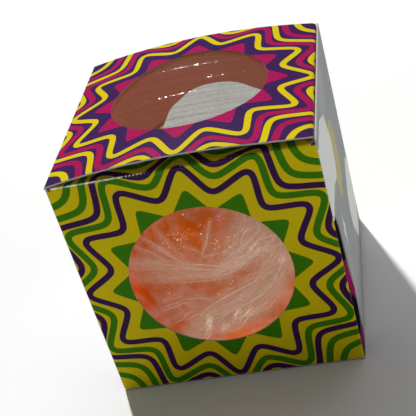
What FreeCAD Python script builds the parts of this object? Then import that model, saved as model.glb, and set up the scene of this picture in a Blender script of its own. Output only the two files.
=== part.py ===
import FreeCAD, Part
import math
import os
from FreeCAD import Vector as V, Placement, Rotation

# Windowed cube carton of printed folding board with a sagged gel squeeze ball inside.
# Millimetres. +X right, +Y back, +Z up. Origin: centre of the carton's footprint, on the surface it stands on.
# The front face is at -Y. The lid is hinged on the left panel (-X) and tucks in behind the right panel (+X).

# ---- driving dimensions ----
SIDE = 70.0            # outside width, depth and height of the carton
T = 0.45               # folding board
FILM = 0.15            # clear window film
FOLD_R = 0.9           # outside radius of the vertical creases
WINDOW_R = 22.0        # round windows in the front panel and the lid
FILM_HALF = 28.0       # half the side of each square film patch
GAP = 0.10             # working clearance at the folds
LID_RISE = 2.9         # how far the bowed lid stands up at its middle
TUCK_LEN = 13.0        # tuck flap
TUCK_LEAN = 11.0       # degrees that the tuck flap leans into the carton
DUST_LIFT = 1.0        # degrees that the front dust flap springs up under the lid
BALL_R = 33.7          # widest radius of the sagged ball
BALL_TOP = 62.6        # its top and bottom
BALL_WAIST = 29.5      # height of its widest section
SKIN = 1.3             # elastomer skin
PLUG_R = 3.0           # plug in the filling hole
SEAM_W = 12.0          # glued side seam tab

H = SIDE / 2
IN = H - T             # inside faces of the panels
R2 = T / 2
AX = H - R2            # crease axes lie in the middle of the board
LID_Z = SIDE - R2      # lid crease height
TUCK_X = IN - GAP - R2 # tuck crease, just inside the right panel
DUST_Z = SIDE - T - 0.3 - R2   # dust flap creases, under the lid
BALL_BOTTOM = 3 * T + 0.3

OUT = "parts"
os.makedirs(OUT, exist_ok=True)


def save(name, shape):
    assert shape.isValid(), name
    solids = shape.Solids
    assert solids and all(s.isValid() and s.Volume > 0 for s in solids), name
    shape = solids[0] if len(solids) == 1 else Part.makeCompound(solids)
    shape.exportStep(os.path.join(OUT, name + ".step"))
    b = shape.BoundBox
    print("%-24s %2d solid(s) %9.1f mm3  x %.2f..%.2f y %.2f..%.2f z %.2f..%.2f" % (
        name, len(solids), sum(s.Volume for s in solids), b.XMin, b.XMax, b.YMin, b.YMax, b.ZMin, b.ZMax))


def box(x0, x1, y0, y1, z0, z1):
    return Part.makeBox(x1 - x0, y1 - y0, z1 - z0, V(x0, y0, z0))


def prism(points, z0, z1):
    """A polygon in the XY plane, extruded from z0 to z1."""
    w = Part.makePolygon([V(x, y, z0) for x, y in points] + [V(points[0][0], points[0][1], z0)])
    return Part.Face(w).extrude(V(0, 0, z1 - z0))


def rounded_prism(points, radii, z0, z1):
    """A polygon in the XY plane with its corners rounded by tangent arcs, extruded from z0 to z1."""
    n = len(points)
    edges, ends = [], []
    for i in range(n):
        p, a, b = V(*points[i], z0), V(*points[i - 1], z0), V(*points[(i + 1) % n], z0)
        u, w = (a - p).normalize(), (b - p).normalize()
        r = radii[i]
        if r <= 0:
            ends.append((p, p, None))
            continue
        half = u.getAngle(w) / 2
        d = r / math.tan(half)
        mid = (u + w).normalize()
        c = p + mid * (r / math.sin(half))
        ends.append((p + u * d, p + w * d, c - mid * r))
    for i in range(n):
        s, e, m = ends[i]
        if m is not None:
            edges.append(Part.Arc(s, m, e).toShape())
        nxt = ends[(i + 1) % n][0]
        if (nxt - e).Length > 1e-6:
            edges.append(Part.LineSegment(e, nxt).toShape())
    return Part.Face(Part.Wire(edges)).extrude(V(0, 0, z1 - z0))


# ---- the sleeve: four panels, mitred through the middle of each vertical crease ----
def upright(z0, z1, inset=0.0):
    b = box(-H + inset, H - inset, -H + inset, H - inset, z0, z1)
    r = FOLD_R - inset
    return b.makeFillet(r, [e for e in b.Edges if abs(e.Vertexes[0].Z - e.Vertexes[1].Z) > 1])


def sleeve(z0, z1):
    return upright(z0, z1).cut(upright(z0 - 1, z1 + 1, T))


def quadrant(angle, z0, z1):
    """A 90 degree wedge about Z, opening towards the given angle, and cut back by a hair at its sides."""
    w = prism([(0, 0), (90, -90), (90, 90)], z0 - 2, z1 + 2)
    w.rotate(V(0, 0, 0), V(0, 0, 1), angle)
    return w


def panel(angle, z0, z1):
    return sleeve(z0, z1).common(quadrant(angle, z0, z1))


front_top = DUST_Z - R2 - GAP
front = panel(-90, T, front_top)
front = front.cut(Part.makeCylinder(WINDOW_R, 10, V(0, -H - 5, H), V(0, 1, 0)))
right = panel(0, T, SIDE)
back = panel(90, T, front_top)
left = panel(180, 0, LID_Z - R2 - GAP - 0.05)
save("front_panel", front)
save("right_panel", right)
save("back_panel", back)
save("left_panel", left)

# the glued side seam: a tab that carries on from the left panel and lies on the back panel's inside face
TAB_X = -IN + (FOLD_R - T) + 0.05      # clear of the crease's inside radius
tab = prism([(TAB_X, 2.5), (-IN + SEAM_W, 6.5), (-IN + SEAM_W, 63.0), (TAB_X, 67.0)], 0, T)
tab.rotate(V(0, 0, 0), V(1, 0, 0), 90)      # polygon's Y becomes Z, thickness runs to -Y
tab.translate(V(0, IN, 0))
save("side_seam_tab", tab)

# ---- windows ----
save("front_window_film", box(-FILM_HALF, FILM_HALF, -IN, -IN + FILM, H - FILM_HALF, H + FILM_HALF))

# ---- lid: a bowed sheet, round about its crease on the left, and the tuck flap's crease on the right ----
lid_mid_x = (TUCK_X - AX) / 2
chord = TUCK_X + AX
LID_R = (chord * chord / 4 + LID_RISE ** 2) / (2 * LID_RISE)
arc_z = LID_Z + LID_RISE - LID_R
half_angle = math.asin(chord / 2 / LID_R)


def on_arc(radius, angle, y):
    return V(lid_mid_x + radius * math.sin(angle), y, arc_z + radius * math.cos(angle))


def bowed(offset_out, offset_in, a0, a1, y0, y1):
    """Part of the bowed sheet: offsets are from its middle surface, and angles run from left to right."""
    ro, ri, am = LID_R + offset_out, LID_R + offset_in, (a0 + a1) / 2
    w = Part.Wire([
        Part.Arc(on_arc(ro, a0, y0), on_arc(ro, am, y0), on_arc(ro, a1, y0)).toShape(),
        Part.LineSegment(on_arc(ro, a1, y0), on_arc(ri, a1, y0)).toShape(),
        Part.Arc(on_arc(ri, a1, y0), on_arc(ri, am, y0), on_arc(ri, a0, y0)).toShape(),
        Part.LineSegment(on_arc(ri, a0, y0), on_arc(ro, a0, y0)).toShape(),
    ])
    return Part.Face(w).extrude(V(0, y1 - y0, 0))


LID_Y = H - 0.1
lid = bowed(R2, -R2, -half_angle, half_angle - (R2 + 0.06) / LID_R, -LID_Y, LID_Y)
lid = lid.fuse(Part.makeCylinder(R2, 2 * LID_Y, V(-AX, -LID_Y, LID_Z), V(0, 1, 0))).removeSplitter()
lid = lid.cut(Part.makeCylinder(WINDOW_R, 20, V(0, 0, SIDE - 5), V(0, 0, 1)))
save("lid_panel", lid)

fa = [math.asin((s * FILM_HALF - lid_mid_x) / LID_R) for s in (-1, 1)]
save("lid_window_film", bowed(-R2, -R2 - FILM, fa[0], fa[1], -FILM_HALF, FILM_HALF))

# tuck flap: drawn flat along +X from its crease, then folded down and leaned in
TW = H - 2.0
tuck = rounded_prism([(0, -TW), (4.0, -TW), (TUCK_LEN, -TW + 3.0), (TUCK_LEN, TW - 3.0), (4.0, TW), (0, TW)],
                     [0, 0, 7.0, 7.0, 0, 0], -R2, R2)
tuck = tuck.fuse(Part.makeCylinder(R2, 2 * TW, V(0, -TW, 0), V(0, 1, 0))).removeSplitter()
tuck.rotate(V(0, 0, 0), V(0, 1, 0), 90 + TUCK_LEAN)
tuck.translate(V(TUCK_X, 0, LID_Z))
save("lid_tuck_flap", tuck)


# ---- dust flaps: drawn flat along +Y from the crease ----
def dust_flap(points, radii, lift):
    flap = rounded_prism(points, radii, -R2, R2)
    w = H - 0.8
    knuckle = Part.makeCylinder(R2, 2 * w, V(-w, 0, 0), V(1, 0, 0))
    flap = flap.fuse(knuckle).removeSplitter()
    flap.rotate(V(0, 0, 0), V(1, 0, 0), lift)
    return flap


fd = dust_flap(
    [(-34.0, 0), (-31.0, 3.0), (-9.0, 11.0), (-5.2, 30.0), (1.0, 38.2), (12.5, 38.2), (31.0, 22.0), (31.0, 3.0), (34.0, 0)],
    [0, 0, 3.0, 9.0, 7.0, 8.0, 3.0, 0, 0], DUST_LIFT)
fd.translate(V(0, -AX, DUST_Z))
save("front_dust_flap", fd)

bd = dust_flap(
    [(-34.0, 0), (-31.0, 3.0), (-25.0, 11.8), (31.0, 11.8), (31.0, 3.0), (34.0, 0)],
    [0, 0, 3.0, 3.0, 0, 0], 0)
bd.rotate(V(0, 0, 0), V(0, 0, 1), 180)
bd = bd.mirror(V(0, 0, 0), V(1, 0, 0))
bd.translate(V(0, AX, DUST_Z))
save("back_dust_flap", bd)

# ---- glued bottom: two dust flaps inside, then the inner flap, then the outer flap that the carton stands on ----
for name, s in (("bottom_front_dust_flap", -1), ("bottom_back_dust_flap", 1)):
    f = rounded_prism([(-32.5, 0), (-30.0, 28.0), (30.0, 28.0), (32.5, 0)], [0, 4.0, 4.0, 0], 0, T)
    if s > 0:
        f.rotate(V(0, 0, 0), V(0, 0, 1), 180)
    f.translate(V(0, s * IN, 2 * T))
    save(name, f)
inner = rounded_prism([(IN, -33.6), (-10.0, -32.0), (-10.0, 32.0), (IN, 33.6)], [0, 3.0, 3.0, 0], T, 2 * T)
save("bottom_inner_flap", inner)
outer = box(-IN, H - 0.1, -H + 0.1, H - 0.1, 0, T)
save("bottom_outer_flap", outer)


# ---- the ball: a sagged round body, as nested surfaces of revolution ----
def ball_profile(inset):
    """Points from the bottom of the axis to the top, on the outline drawn in by inset."""
    r, top, bottom = BALL_R - inset, BALL_TOP - inset, BALL_BOTTOM + inset
    up, down = top - BALL_WAIST, BALL_WAIST - bottom
    points = []
    n = 18
    for i in range(0, n + 1):            # lower half, a squarer curve where the ball sags
        a = math.pi / 2 * i / n
        e = 2 / 3.1
        points.append((r * math.sin(a) ** e, BALL_WAIST - down * math.cos(a) ** e if i < n else BALL_WAIST))
    for i in range(1, n + 1):            # upper half
        a = math.pi / 2 * i / n
        e = 2 / 2.2
        points.append((r * max(0.0, math.cos(a)) ** e if i < n else 0.0, BALL_WAIST + up * math.sin(a) ** e))
    return points


def ball_solid(inset):
    pts = [V(x, 0, z) for x, z in ball_profile(inset)]
    c = Part.BSplineCurve()
    c.interpolate(pts, InitialTangent=V(1, 0, 0), FinalTangent=V(-1, 0, 0))
    axis = Part.LineSegment(pts[-1], pts[0]).toShape()
    face = Part.Face(Part.Wire([c.toShape(), axis]))
    return face.revolve(V(0, 0, 0), V(0, 0, 1), 360)


outside, inside = ball_solid(0), ball_solid(SKIN)
skin = outside.cut(inside)
plug_hole = Part.makeCylinder(PLUG_R, 8, V(0, 0, BALL_TOP - 4), V(0, 0, 1))
skin = skin.cut(plug_hole)
save("ball_skin", skin)
plug = outside.common(Part.makeCylinder(PLUG_R - 0.03, 8, V(0, 0, BALL_TOP - SKIN), V(0, 0, 1)))
save("ball_fill_plug", plug)

# fibre bundles: curved ribbons that lie just under the gel's surface
veil = ball_solid(SKIN + 0.9).cut(ball_solid(SKIN + 1.7))


def ribbon(points, width, depth0, depth1):
    """A bent strip in the XZ plane, cut through the front of the gel from depth0 to depth1 along Y."""
    left_side, right_side = [], []
    for i, (x, z) in enumerate(points):
        a, b = points[max(i - 1, 0)], points[min(i + 1, len(points) - 1)]
        dx, dz = b[0] - a[0], b[1] - a[1]
        n = math.hypot(dx, dz)
        w = width[i] / 2
        left_side.append((x - dz / n * w, z + dx / n * w))
        right_side.append((x + dz / n * w, z - dx / n * w))
    ring = left_side + right_side[::-1]
    wire = Part.makePolygon([V(x, depth0, z) for x, z in ring] + [V(ring[0][0], depth0, ring[0][1])])
    return Part.Face(wire).extrude(V(0, depth1 - depth0, 0))


bundles = []
for points, width, y0, y1 in (
    ([(-27, 38), (-14, 36.5), (0, 34.5), (8, 35.5)], [2.0, 2.6, 2.4, 1.4], -40, 0),
    ([(11, 38), (17, 43), (22, 50)], [2.2, 5.0, 6.0], -40, 0),
    ([(-12, 8), (0, 15), (12, 24), (24, 33)], [1.6, 3.6, 4.2, 3.0], -40, 0),
    ([(-9, 45), (-6, 52), (-4, 57)], [1.0, 1.2, 1.0], -40, 0),
    ([(-20, 20), (-10, 30), (6, 44), (14, 55)], [2.0, 3.4, 3.0, 1.6], 0, 40),
    ([(22, 14), (10, 22), (-6, 26), (-24, 28)], [1.8, 3.2, 2.8, 2.0], 0, 40),
):
    bundles += veil.common(ribbon(points, width, y0, y1)).Solids
fibres = Part.makeCompound(bundles)
save("fibre_strands", fibres)

# glitter flakes: thin hexagons set flat to the gel's surface, in golden-angle order
flakes = []
profile = ball_profile(SKIN + 2.6)
for k in range(26):
    px, pz = profile[4 + int((len(profile) - 9) * ((k * 0.618034) % 1.0))]
    a = math.radians(k * 137.508)
    f = Part.Face(Part.makePolygon([V(0.75 * math.cos(math.radians(60 * j)), 0.75 * math.sin(math.radians(60 * j)), 0)
                                    for j in range(7)])).extrude(V(0, 0, 0.12))
    tilt = math.degrees(math.atan2(px / BALL_R, (pz - BALL_WAIST) / (BALL_TOP - BALL_WAIST)))
    f.rotate(V(0, 0, 0), V(0, 1, 0), tilt)
    f.rotate(V(0, 0, 0), V(0, 0, 1), math.degrees(a))
    f.translate(V(px * math.cos(a), px * math.sin(a), pz))
    flakes.append(f)
flakes = Part.makeCompound(flakes)
save("glitter_flakes", flakes)

gel = ball_solid(SKIN + 0.05)
for s in bundles + flakes.Solids:
    gel = gel.cut(s)
save("ball_gel", gel)
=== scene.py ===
import bpy
import math
import numpy as np
from mathutils import Vector, Matrix


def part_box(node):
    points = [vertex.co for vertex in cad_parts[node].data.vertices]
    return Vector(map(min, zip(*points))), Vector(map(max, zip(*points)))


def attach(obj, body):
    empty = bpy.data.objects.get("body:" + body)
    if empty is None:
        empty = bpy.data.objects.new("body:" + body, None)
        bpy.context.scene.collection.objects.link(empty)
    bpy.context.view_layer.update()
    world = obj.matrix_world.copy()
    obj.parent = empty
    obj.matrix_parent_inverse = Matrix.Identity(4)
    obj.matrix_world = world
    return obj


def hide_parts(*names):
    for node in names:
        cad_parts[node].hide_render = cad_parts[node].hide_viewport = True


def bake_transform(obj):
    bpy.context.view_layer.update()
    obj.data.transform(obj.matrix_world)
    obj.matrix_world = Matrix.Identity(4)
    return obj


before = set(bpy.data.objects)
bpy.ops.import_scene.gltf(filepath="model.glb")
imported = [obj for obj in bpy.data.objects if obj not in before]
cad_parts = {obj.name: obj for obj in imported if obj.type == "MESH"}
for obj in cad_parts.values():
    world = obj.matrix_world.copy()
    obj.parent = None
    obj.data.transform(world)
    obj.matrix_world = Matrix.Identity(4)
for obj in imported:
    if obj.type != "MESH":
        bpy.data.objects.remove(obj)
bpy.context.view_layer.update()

MM = 0.001


def mm_box(node):
    lo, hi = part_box(node)
    return np.array(lo) / MM, np.array(hi) / MM


# ------------------------------------------------------------------ sizes, read from the frame (millimetres)
(_, _r) = mm_box("right_panel")
H = float(_r[0])                                   # half the carton's side
TOP = float(_r[2])                                 # its height at the right panel's raw edge
T = float(mm_box("bottom_outer_flap")[1][2])       # board
R2 = T / 2
IN = H - T
FOLD = 0.9
WIN = 22.0
AX = H - R2
LID_Z = TOP - R2
_lid_lo, _lid_hi = mm_box("lid_panel")
RISE = float(_lid_hi[2]) - R2 - LID_Z
TUCK_X = IN - 0.10 - R2
DUST_Z = float(mm_box("front_dust_flap")[0][2]) + R2
_b_lo, _b_hi = mm_box("ball_skin")
_g_lo, _g_hi = mm_box("ball_gel")
BALL_R = float(_b_hi[0])
BALL_TOP = float(mm_box("ball_fill_plug")[1][2])
BALL_BOTTOM = float(_b_lo[2])
BALL_WAIST = 29.5
SKIN = float(_b_hi[0] - _g_hi[0])
CAM = np.array([60.935, -254.716, 191.248])        # the viewpoint, also used to lay the ball's fibres behind the window


# ------------------------------------------------------------------ mesh helpers
def new_object(name, verts, faces, mats, face_mat=None, attrs=None, smooth=True, sharp=35):
    me = bpy.data.meshes.new(name)
    me.from_pydata((np.asarray(verts, float) * MM).tolist(), [], [list(map(int, f)) for f in faces])
    for m in mats:
        me.materials.append(m)
    if face_mat is not None:
        me.polygons.foreach_set("material_index", np.asarray(face_mat, dtype=np.int32))
    me.polygons.foreach_set("use_smooth", [smooth] * len(me.polygons))
    if attrs:
        for k, v in attrs.items():
            v = np.asarray(v, dtype=np.float32)
            if v.ndim == 2:
                a = me.attributes.new(k, "FLOAT_COLOR", "POINT")
                c = np.ones((len(v), 4), dtype=np.float32)
                c[:, :v.shape[1]] = v
                a.data.foreach_set("color", c.ravel())
            else:
                a = me.attributes.new(k, "FLOAT", "POINT")
                a.data.foreach_set("value", v)
    me.update()
    if smooth and sharp:
        me.set_sharp_from_angle(angle=math.radians(sharp))
    me.validate()
    o = bpy.data.objects.new(name, me)
    bpy.context.scene.collection.objects.link(o)
    return o


def surface_normals(P, closed):
    du = np.roll(P, -1, 0) - np.roll(P, 1, 0)
    if not closed:
        du[0] = P[1] - P[0]
        du[-1] = P[-1] - P[-2]
    dv = np.empty_like(P)
    dv[:, 1:-1] = P[:, 2:] - P[:, :-2]
    dv[:, 0] = P[:, 1] - P[:, 0]
    dv[:, -1] = P[:, -1] - P[:, -2]
    n = np.cross(du, dv)
    return n / np.maximum(np.linalg.norm(n, axis=-1, keepdims=True), 1e-9)


def sheet_board(name, P, outward, thick, mats, attrs, closed=False, body="carton", replaces=(), bevel=0.07, sharp=35):
    """A folded board made from a grid of points on its outer face: the inner face is thick behind it, and the rims are closed.
    outward is a rough outward direction. attrs are per-point values on the outer grid, copied to the inner one."""
    nu, nv = P.shape[:2]
    N = surface_normals(P, closed)
    if np.sum(N * np.asarray(outward, float)) < 0:
        N = -N
        flip = True
    else:
        flip = False
    Q = P - N * thick
    verts = np.concatenate([P.reshape(-1, 3), Q.reshape(-1, 3)])
    idx = np.arange(nu * nv).reshape(nu, nv)
    iu = np.arange(nu if closed else nu - 1)
    a = idx[iu][:, :-1]
    b = idx[(iu + 1) % nu][:, :-1]
    c = idx[(iu + 1) % nu][:, 1:]
    d = idx[iu][:, 1:]
    outer = np.stack([a, b, c, d], -1).reshape(-1, 4)
    if flip:
        outer = outer[:, ::-1]
    off = nu * nv
    inner = outer[:, ::-1] + off
    rims = []

    def rim(line, close, way):
        n = len(line)
        for k in range(n if close else n - 1):
            p, q = line[k], line[(k + 1) % n]
            f = [p, q, q + off, p + off]
            rims.append(f if way else f[::-1])
    rim(idx[:, 0], closed, flip)
    rim(idx[:, -1], closed, not flip)
    if not closed:
        rim(idx[0, :], False, not flip)
        rim(idx[-1, :], False, flip)
    faces = outer.tolist() + inner.tolist() + rims
    fm = [0] * len(outer) + [1] * (len(inner) + len(rims))
    at = {k: np.concatenate([np.asarray(v, float).reshape(nu * nv, -1)] * 2).squeeze() for k, v in attrs.items()}
    o = new_object(name, verts, faces, mats, fm, at, sharp=sharp)
    if bevel:
        m = o.modifiers.new("edge", "BEVEL")
        m.width = bevel * MM
        m.segments = 2
        m.limit_method = "ANGLE"
        m.angle_limit = math.radians(50)
        m.harden_normals = False
    if body:
        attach(o, body)
    if replaces:
        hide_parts(*replaces)
    return o


# ------------------------------------------------------------------ the printed pattern: rings of a rounded twelve-pointed star
RINGS = ((0.390, 0.305, 0.075), (0.485, 0.381, 0.22), (0.553, 0.445, 0.25), (0.602, 0.4925, 0.25),
         (0.660, 0.552, 0.28), (0.728, 0.622, 0.28))
WIDTHS = (0, 0.0255, 0.027, 0.0255, 0.028, 0.028)


def ring_distance(u, v, k):
    """Signed distance from ring k's centre line, in carton sides; u, v are in carton sides from the middle of the panel."""
    rp, rv, delta = RINGS[k]
    r = np.hypot(u, v) + 1e-9
    phi = np.arctan2(v, u)
    c = 1 - delta
    t0 = math.acos(c) / math.pi
    cc = c * np.cos(12 * phi)
    Tt = np.arccos(np.clip(cc, -1, 1)) / math.pi
    dT = 12 * c * np.sin(12 * phi) / (math.pi * np.sqrt(np.maximum(1 - cc * cc, 1e-6)))
    s = (Tt - t0) / (1 - 2 * t0)
    ds = dT / (1 - 2 * t0)
    al = math.radians(15)
    den = rp * np.sin(s * al) + rv * np.sin(al * (1 - s))
    rho = rp * rv * math.sin(al) / den
    dden = (rp * np.cos(s * al) - rv * np.cos(al * (1 - s))) * al * ds
    drho = -rho / den * dden
    return (r - rho) / np.sqrt(1 + (drho / np.maximum(r, 0.2)) ** 2)


def pattern(u, v):
    """Two distance fields in millimetres, each below zero inside its ink: a = rings 1, 3 (second colour), b = star and rings 2, 4, 5."""
    a = np.full(u.shape, 9.0)
    b = ring_distance(u, v, 0)
    for k in (1, 3):
        a = np.minimum(a, np.abs(ring_distance(u, v, k)) - WIDTHS[k] / 2)
    for k in (2, 4, 5):
        b = np.minimum(b, np.abs(ring_distance(u, v, k)) - WIDTHS[k] / 2)
    return a * 70, b * 70


def lid_pattern(u, v):
    a = np.full(u.shape, 9.0)
    b = ring_distance(u, v, 0)
    for k in (1, 3, 5):
        a = np.minimum(a, np.abs(ring_distance(u, v, k)) - WIDTHS[k] / 2)
    for k in (2, 4):
        b = np.minimum(b, np.abs(ring_distance(u, v, k)) - WIDTHS[k] / 2)
    return a * 70, b * 70


# ------------------------------------------------------------------ materials
class Nodes:
    def __init__(self, name):
        self.m = bpy.data.materials.new(name)
        self.m.use_nodes = True
        self.t = self.m.node_tree
        self.t.nodes.clear()
        self.out = self.t.nodes.new("ShaderNodeOutputMaterial")
        self.co = self.t.nodes.new("ShaderNodeTexCoord").outputs["Object"]

    def n(self, kind, **kw):
        node = self.t.nodes.new("ShaderNode" + kind)
        for k, v in kw.items():
            setattr(node, k, v)
        return node

    def put(self, sock, v):
        if isinstance(v, bpy.types.NodeSocket):
            self.t.links.new(v, sock)
        elif v is not None:
            if sock.type in ("RGBA",) and not isinstance(v, (int, float)):
                v = tuple(v) + ((1.0,) if len(v) == 3 else ())
            sock.default_value = v

    def attr(self, name):
        a = self.n("Attribute", attribute_name=name)
        return a.outputs["Fac"]

    def attr_color(self, name):
        return self.n("Attribute", attribute_name=name).outputs["Color"]

    def math(self, op, a, b=None, c=None, clamp=False):
        m = self.n("Math", operation=op, use_clamp=clamp)
        self.put(m.inputs[0], a)
        if b is not None:
            self.put(m.inputs[1], b)
        if c is not None:
            self.put(m.inputs[2], c)
        return m.outputs[0]

    def below(self, d, soft=0.05):
        """1 where d < 0, with an edge soft mm wide."""
        m = self.n("MapRange", interpolation_type="LINEAR")
        self.put(m.inputs["Value"], d)
        m.inputs["From Min"].default_value = -soft
        m.inputs["From Max"].default_value = soft
        m.inputs["To Min"].default_value = 1.0
        m.inputs["To Max"].default_value = 0.0
        return m.outputs["Result"]

    def ramp(self, v, lo, hi, to_lo=0.0, to_hi=1.0, smooth=True):
        m = self.n("MapRange", interpolation_type="SMOOTHSTEP" if smooth else "LINEAR")
        self.put(m.inputs["Value"], v)
        m.inputs["From Min"].default_value = lo
        m.inputs["From Max"].default_value = hi
        m.inputs["To Min"].default_value = to_lo
        m.inputs["To Max"].default_value = to_hi
        return m.outputs["Result"]

    def noise(self, scale, detail=3, rough=0.5, vec=None, out="Fac", distortion=0.0):
        x = self.n("TexNoise")
        self.put(x.inputs["Vector"], vec if vec is not None else self.co)
        x.inputs["Scale"].default_value = scale
        x.inputs["Detail"].default_value = detail
        x.inputs["Roughness"].default_value = rough
        x.inputs["Distortion"].default_value = distortion
        return x.outputs[out]

    def scaled(self, sx, sy, sz, rot=(0, 0, 0)):
        m = self.n("Mapping")
        self.put(m.inputs["Vector"], self.co)
        m.inputs["Scale"].default_value = (sx, sy, sz)
        m.inputs["Rotation"].default_value = rot
        return m.outputs["Vector"]

    def mix(self, f, a, b, blend="MIX"):
        m = self.n("Mix", data_type="RGBA", blend_type=blend)
        self.put(m.inputs["Factor"], f)
        self.put(m.inputs["A"] if False else m.inputs[6], a)
        self.put(m.inputs[7], b)
        return m.outputs[2]

    def bump(self, h, strength, dist):
        b = self.n("Bump")
        b.inputs["Strength"].default_value = strength
        b.inputs["Distance"].default_value = dist
        self.put(b.inputs["Height"], h)
        return b.outputs["Normal"]

    def principled(self, **kw):
        p = self.n("BsdfPrincipled")
        for k, v in kw.items():
            self.put(p.inputs[k.replace("_", " ")], v)
        return p

    def finish(self, sock):
        self.t.links.new(sock, self.out.inputs["Surface"])
        return self.m


YELLOW = (0.74, 0.58, 0.004)
PURPLE = (0.050, 0.016, 0.095)
MAGENTA = (0.41, 0.008, 0.095)
GREEN = (0.048, 0.215, 0.003)


def raw_board_colour(k, tint=(0.66, 0.66, 0.63)):
    """Bare coated board: short pressed fibres and a faint cloudiness."""
    f1 = k.noise(900, 5, 0.62)
    f2 = k.noise(60, 2, 0.5)
    c = k.mix(k.ramp(f1, 0.30, 0.72), [x * 0.87 for x in tint], [min(1, x * 1.07) for x in tint])
    return k.mix(k.ramp(f2, 0.35, 0.7, 0.0, 0.25), c, [tint[0] * 0.93, tint[1] * 0.92, tint[2] * 0.88])


def printed(name, base, ink_a, ink_b, ink_attr=False):
    """Gloss-varnished board: base ink, two inks from the pattern's distance fields, mottled ink, fibre showing through at the worn creases."""
    k = Nodes(name)
    mottle = k.ramp(k.noise(1500, 4, 0.6), 0.25, 0.8, 0.965, 1.02)
    cloud = k.ramp(k.noise(45, 3, 0.5), 0.3, 0.75, 0.975, 1.02)
    col = k.mix(k.below(k.attr("pat_b")), base, ink_b)
    col = k.mix(k.below(k.attr("pat_a")), col, ink_a)
    tone = k.math("MULTIPLY", mottle, cloud)
    hsv = k.n("HueSaturation")
    k.put(hsv.inputs["Color"], col)
    k.put(hsv.inputs["Value"], tone)
    col = hsv.outputs["Color"]
    # scuffed ink: small chips along a crease, where the attribute "wear" is near one
    chips = k.math("ADD", k.attr("wear"), k.math("MULTIPLY", k.math("SUBTRACT", k.noise(1900, 4, 0.7), 0.5), 1.5))
    chip = k.ramp(chips, 0.93, 1.05)
    paper = raw_board_colour(k)
    col = k.mix(chip, col, paper)
    if ink_attr:
        col = k.mix(k.below(k.attr("bare")), col, paper)
    fibre = k.noise(1100, 5, 0.65)
    peel = k.noise(260, 2, 0.5)
    height = k.math("ADD", k.math("MULTIPLY", fibre, 0.35), peel)
    nrm = k.bump(height, 0.10, 0.00012)
    rough = k.ramp(k.math("ADD", k.math("MULTIPLY", fibre, 0.5), k.math("MULTIPLY", k.noise(35, 3, 0.6), 0.5)), 0.3, 0.7, 0.20, 0.30)
    rough = k.math("ADD", rough, k.math("MULTIPLY", chip, 0.3), clamp=True)
    p = k.principled(Base_Color=col, Roughness=rough, Normal=nrm)
    p.inputs["Specular IOR Level"].default_value = 0.03
    return k.finish(p.outputs["BSDF"])


def raw_board(name, tint=(0.66, 0.66, 0.63), layered=False):
    k = Nodes(name)
    col = raw_board_colour(k, tint)
    h = k.noise(1300, 5, 0.7)
    nrm = k.bump(h, 0.35, 0.00010)
    p = k.principled(Base_Color=col, Roughness=k.ramp(h, 0.3, 0.7, 0.72, 0.92), Normal=nrm)
    p.inputs["Specular IOR Level"].default_value = 0.3
    return k.finish(p.outputs["BSDF"])


def painted_glow_board(name, flap=False, rim=False):
    """Bare board inside the carton near the ball's top, with painted light: an orange tint and an emission glow stand
    in for the light that comes through the gel.
    """
    k = Nodes(name)
    sep = k.n("SeparateXYZ")
    k.put(sep.inputs[0], k.co)
    near = k.ramp(sep.outputs["Z"], 0.020, 0.046)
    if rim:
        near = k.math("MULTIPLY", near, k.ramp(sep.outputs["Z"], 0.0640, 0.0665, 1.0, 0.0))
    cloud = k.noise(45, 3, 0.5)
    # painted light: the orange that the gel's light casts on the board
    warm = k.mix(k.ramp(cloud, 0.35, 0.7), (0.52, 0.165, 0.080), (0.58, 0.205, 0.115))
    if flap:
        near = k.math("MULTIPLY", near, k.ramp(sep.outputs["Y"], 0.0292, 0.0312, 1.0, 0.0))
        bare = k.mix(k.below(k.attr("bare")), YELLOW, raw_board_colour(k))
    else:
        bare = raw_board_colour(k)
    col = k.mix(near, bare, warm)
    h = k.noise(1300, 5, 0.7)
    p = k.principled(Base_Color=col, Roughness=k.ramp(h, 0.3, 0.7, 0.72, 0.92), Normal=k.bump(h, 0.35, 0.00010))
    p.inputs["Specular IOR Level"].default_value = 0.2
    # painted glow: emission where the orange light is painted
    k.put(p.inputs["Emission Color"], col)
    k.put(p.inputs["Emission Strength"], k.math("MULTIPLY", near, 0.36))
    return k.finish(p.outputs["BSDF"])


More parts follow.
